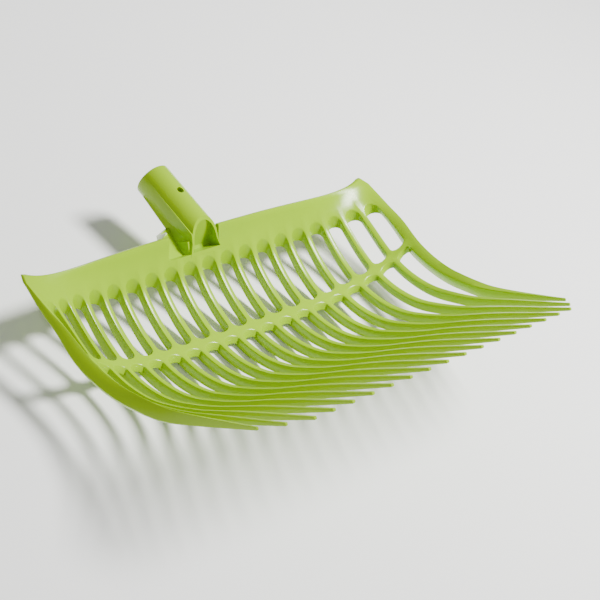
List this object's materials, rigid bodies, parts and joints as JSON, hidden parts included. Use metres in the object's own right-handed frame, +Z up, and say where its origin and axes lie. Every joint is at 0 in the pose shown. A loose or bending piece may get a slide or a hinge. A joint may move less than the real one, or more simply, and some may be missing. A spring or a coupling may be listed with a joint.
{
  "type": "stall fork head",
  "caption": "Wide basket-shaped fork head of thin curved tines joined by a cross rib and a bowed header, with a round handle socket.",
  "frame": {"origin": "bottom centre of the bounding box, with the head lying on its bowl and the tips raised", "axes": "+X across the tines, +Y from the socket towards the tips, +Z up"},
  "size_m": [0.4098, 0.3158, 0.1345],
  "materials": {
    "lime_plastic": "smooth moulded, semi-gloss"
  },
  "bodies": {
    "root": {"handle_socket": "lime_plastic", "socket_gusset": "lime_plastic", "header_plate": "lime_plastic", "tine_01": "lime_plastic", "tine_02": "lime_plastic", "tine_03": "lime_plastic", "tine_04": "lime_plastic", "tine_05": "lime_plastic", "tine_06": "lime_plastic", "tine_07": "lime_plastic", "tine_08": "lime_plastic", "tine_09": "lime_plastic", "tine_10": "lime_plastic", "tine_11": "lime_plastic", "tine_12": "lime_plastic", "tine_13": "lime_plastic", "tine_14": "lime_plastic", "tine_15": "lime_plastic", "tine_16": "lime_plastic", "tine_17": "lime_plastic", "tine_18": "lime_plastic", "tine_19": "lime_plastic", "tine_20": "lime_plastic", "rib_web_01": "lime_plastic", "rib_web_02": "lime_plastic", "rib_web_03": "lime_plastic", "rib_web_04": "lime_plastic", "rib_web_05": "lime_plastic", "rib_web_06": "lime_plastic", "rib_web_07": "lime_plastic", "rib_web_08": "lime_plastic", "rib_web_09": "lime_plastic", "rib_web_10": "lime_plastic", "rib_web_11": "lime_plastic", "rib_web_12": "lime_plastic", "rib_web_13": "lime_plastic", "rib_web_14": "lime_plastic", "rib_web_15": "lime_plastic", "rib_web_16": "lime_plastic", "rib_web_17": "lime_plastic", "rib_web_18": "lime_plastic", "rib_web_19": "lime_plastic"}
  },
  "joints": []
}
